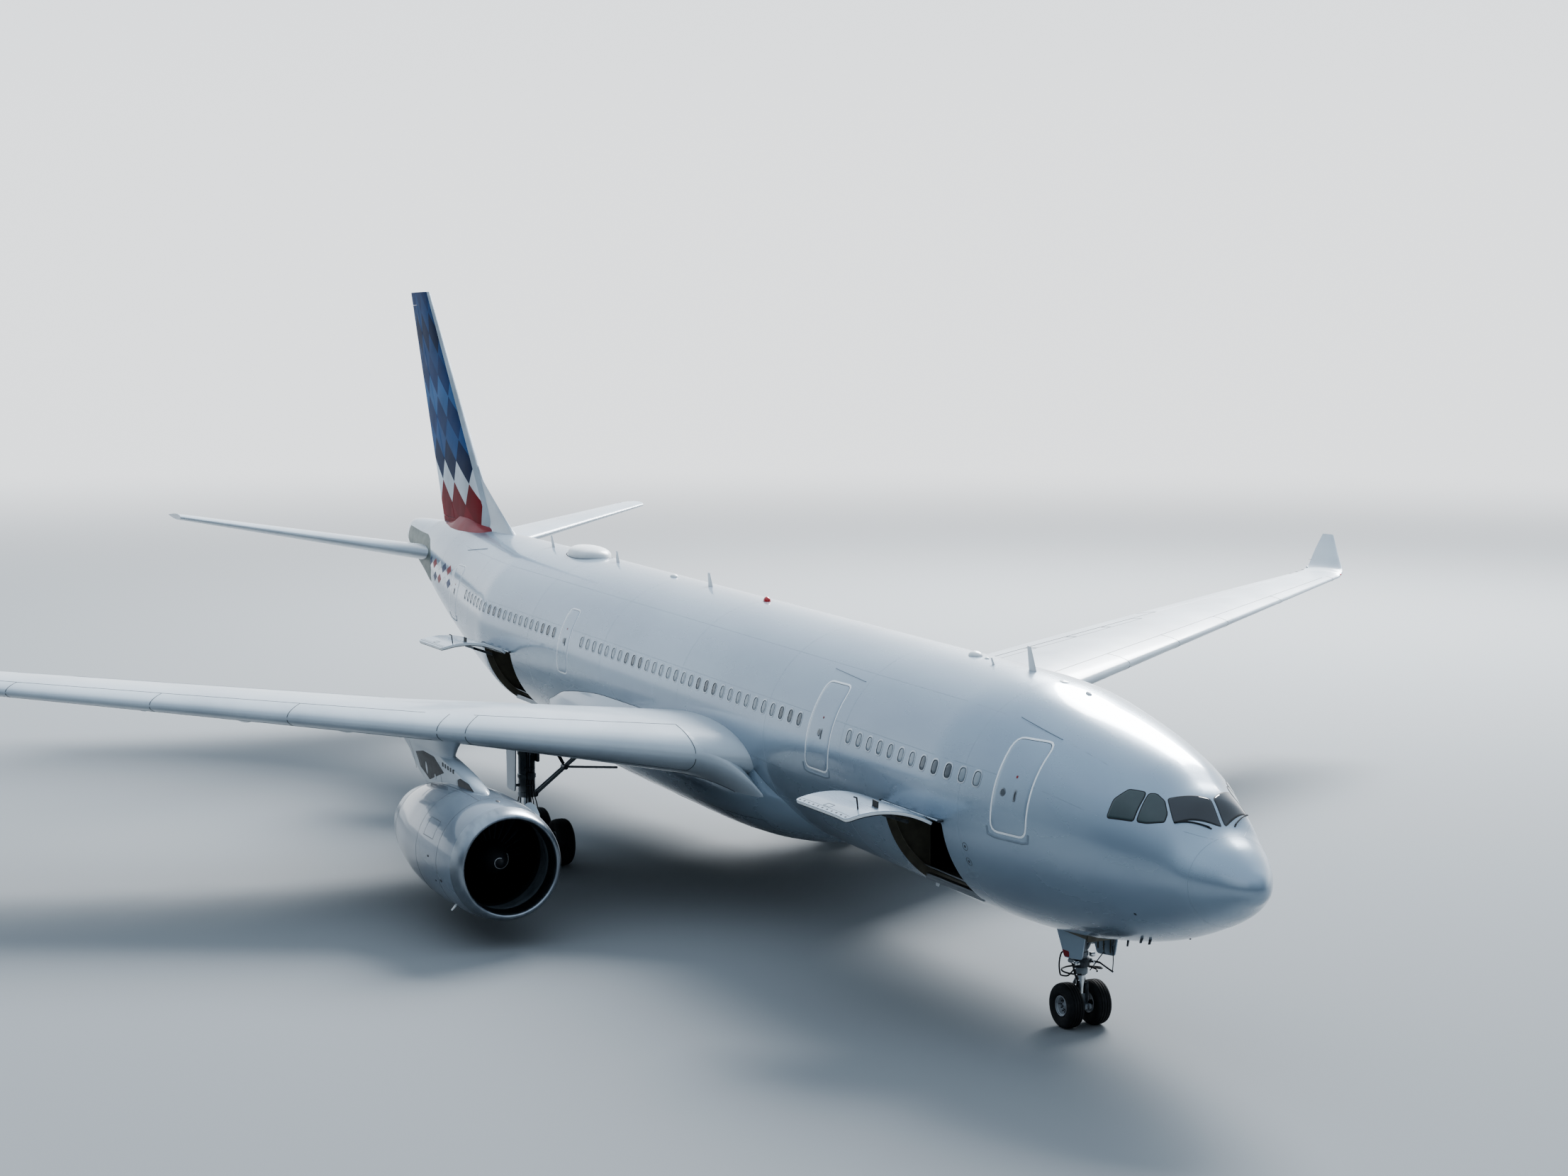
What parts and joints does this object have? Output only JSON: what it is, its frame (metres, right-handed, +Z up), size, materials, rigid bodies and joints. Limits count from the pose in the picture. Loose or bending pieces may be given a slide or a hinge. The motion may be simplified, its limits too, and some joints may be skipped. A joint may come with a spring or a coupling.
{
  "type": "wide body airliner, 1:2 scale model",
  "caption": "Wide body airliner at half size, parked on its landing gear, with swept wings, winglets, underwing turbofans and open cargo doors on the right-hand side.",
  "frame": {"origin": "on the ground, below the middle of the box that the aircraft fills", "axes": "+X forward to the nose, +Y to the left (port) wing tip, +Z up"},
  "size_m": [29.41, 30.1452, 8.7],
  "materials": {
    "silver_paint": "satin",
    "grey_paint": "satin",
    "white_paint": "satin",
    "tail_paint": "satin",
    "red_paint": "satin",
    "bare_metal": "polished",
    "gear_paint": "satin",
    "tyre_rubber": "matte",
    "wheel_rim": "satin",
    "cockpit_glass": "polished",
    "fan_metal": "satin",
    "engine_metal": "matte",
    "hold_lining": "satin",
    "dark_seal": "matte",
    "lamp_glass": "polished"
  },
  "bodies": {
    "airframe": {"wing_left": "grey_paint", "tailplane_left": "grey_paint", "wing_right": "grey_paint", "tailplane_right": "grey_paint", "fin": "white_paint", "radome": "silver_paint", "cockpit_section": "silver_paint", "forward_fuselage": "silver_paint", "centre_fuselage": "silver_paint", "aft_fuselage": "silver_paint", "rear_fuselage": "silver_paint", "tail_cone": "silver_paint", "door_1_left": "silver_paint", "door_1_right": "silver_paint", "door_2_left": "silver_paint", "door_2_right": "silver_paint", "door_3_left": "silver_paint", "door_3_right": "silver_paint", "door_4_left": "silver_paint", "door_4_right": "silver_paint", "cockpit_glazing": "cockpit_glass", "belly_fairing": "silver_paint", "satcom_radome": "white_paint", "nacelle_left": "grey_paint", "engine_core_left": "engine_metal", "pylon_left": "grey_paint", "nacelle_right": "grey_paint", "engine_core_right": "engine_metal", "pylon_right": "grey_paint", "bogie_left": "gear_paint", "main_leg_left": "gear_paint", "main_leg_door_left": "grey_paint", "bogie_right": "gear_paint", "main_leg_right": "gear_paint", "main_leg_door_right": "grey_paint", "nose_leg": "gear_paint", "nose_gear_door_left": "grey_paint", "nose_gear_door_right": "grey_paint"},
    "aft_cargo_door": {"aft_cargo_door": "silver_paint"},
    "elevator_left": {"elevator_left": "grey_paint"},
    "elevator_right": {"elevator_right": "grey_paint"},
    "fan_left": {"fan_left": "fan_metal"},
    "fan_right": {"fan_right": "fan_metal"},
    "forward_cargo_door": {"forward_cargo_door": "silver_paint"},
    "inner_aileron_left": {"inner_aileron_left": "grey_paint"},
    "inner_aileron_right": {"inner_aileron_right": "grey_paint"},
    "main_wheels_left_front": {"main_wheels_left_front": "tyre_rubber"},
    "main_wheels_left_rear": {"main_wheels_left_rear": "tyre_rubber"},
    "main_wheels_right_front": {"main_wheels_right_front": "tyre_rubber"},
    "main_wheels_right_rear": {"main_wheels_right_rear": "tyre_rubber"},
    "nose_steering": {"nose_steering": "gear_paint"},
    "nose_wheels": {"nose_wheels": "tyre_rubber"},
    "outer_aileron_left": {"outer_aileron_left": "grey_paint"},
    "outer_aileron_right": {"outer_aileron_right": "grey_paint"},
    "rudder": {"rudder": "tail_paint"}
  },
  "joints": [
    {"name": "inner_aileron_left_hinge", "type": "hinge", "parent": "airframe", "child": "inner_aileron_left", "pos_m": [-1.52835, 9.7, 2.93267], "axis": [-0.3777, 0.9224, 0.0809], "range_deg": [-25, 25]},
    {"name": "outer_aileron_left_hinge", "type": "hinge", "parent": "airframe", "child": "outer_aileron_left", "pos_m": [-2.5724, 12.25, 3.15614], "axis": [-0.378, 0.9226, 0.0775], "range_deg": [-25, 25]},
    {"name": "elevator_left_hinge", "type": "hinge", "parent": "airframe", "child": "elevator_left", "pos_m": [-13.08577, 0.875, 3.66625], "axis": [-0.2987, 0.9428, 0.1482], "range_deg": [-15, 30]},
    {"name": "inner_aileron_right_hinge", "type": "hinge", "parent": "airframe", "child": "inner_aileron_right", "pos_m": [-1.52835, -9.7, 2.93267], "axis": [-0.3777, -0.9224, 0.0809], "range_deg": [-25, 25]},
    {"name": "outer_aileron_right_hinge", "type": "hinge", "parent": "airframe", "child": "outer_aileron_right", "pos_m": [-2.5724, -12.25, 3.15614], "axis": [-0.378, -0.9226, 0.0775], "range_deg": [-25, 25]},
    {"name": "elevator_right_hinge", "type": "hinge", "parent": "airframe", "child": "elevator_right", "pos_m": [-13.08577, -0.875, 3.66625], "axis": [-0.2987, -0.9428, 0.1482], "range_deg": [-30, 15]},
    {"name": "rudder_hinge", "type": "hinge", "parent": "airframe", "child": "rudder", "pos_m": [-11.06697, 0, 4.31], "axis": [-0.5123, 0, 0.8588], "range_deg": [-30, 30]},
    {"name": "fan_left_spin", "type": "hinge", "parent": "airframe", "child": "fan_left", "pos_m": [4.68, 4.685, 1.075], "axis": [1, 0, 0], "continuous": true},
    {"name": "fan_right_spin", "type": "hinge", "parent": "airframe", "child": "fan_right", "pos_m": [4.68, -4.685, 1.075], "axis": [1, 0, 0], "continuous": true},
    {"name": "main_wheels_left_front_spin", "type": "hinge", "parent": "airframe", "child": "main_wheels_left_front", "pos_m": [0.775, 2.67, 0.34327], "axis": [0, 1, 0], "continuous": true},
    {"name": "main_wheels_left_rear_spin", "type": "hinge", "parent": "airframe", "child": "main_wheels_left_rear", "pos_m": [-0.215, 2.67, 0.34327], "axis": [0, 1, 0], "continuous": true},
    {"name": "main_wheels_right_front_spin", "type": "hinge", "parent": "airframe", "child": "main_wheels_right_front", "pos_m": [0.775, -2.67, 0.34327], "axis": [0, 1, 0], "continuous": true},
    {"name": "main_wheels_right_rear_spin", "type": "hinge", "parent": "airframe", "child": "main_wheels_right_rear", "pos_m": [-0.215, -2.67, 0.34327], "axis": [0, 1, 0], "continuous": true},
    {"name": "nose_steering_turn", "type": "hinge", "parent": "airframe", "child": "nose_steering", "pos_m": [11.37, 0, 0.25746], "axis": [0, 0, 1], "range_deg": [-72, 72]},
    {"name": "nose_wheels_spin", "type": "hinge", "parent": "nose_steering", "child": "nose_wheels", "pos_m": [11.37, 0, 0.25746], "axis": [0, 1, 0], "continuous": true},
    {"name": "forward_cargo_door_hinge", "type": "hinge", "parent": "airframe", "child": "forward_cargo_door", "pos_m": [10.5872, -1.41529, 2.32326], "axis": [1, 0, 0], "range_deg": [0, 128]},
    {"name": "aft_cargo_door_hinge", "type": "hinge", "parent": "airframe", "child": "aft_cargo_door", "pos_m": [-4.1128, -1.41529, 2.56331], "axis": [1, 0, 0], "range_deg": [0, 128]}
  ]
}
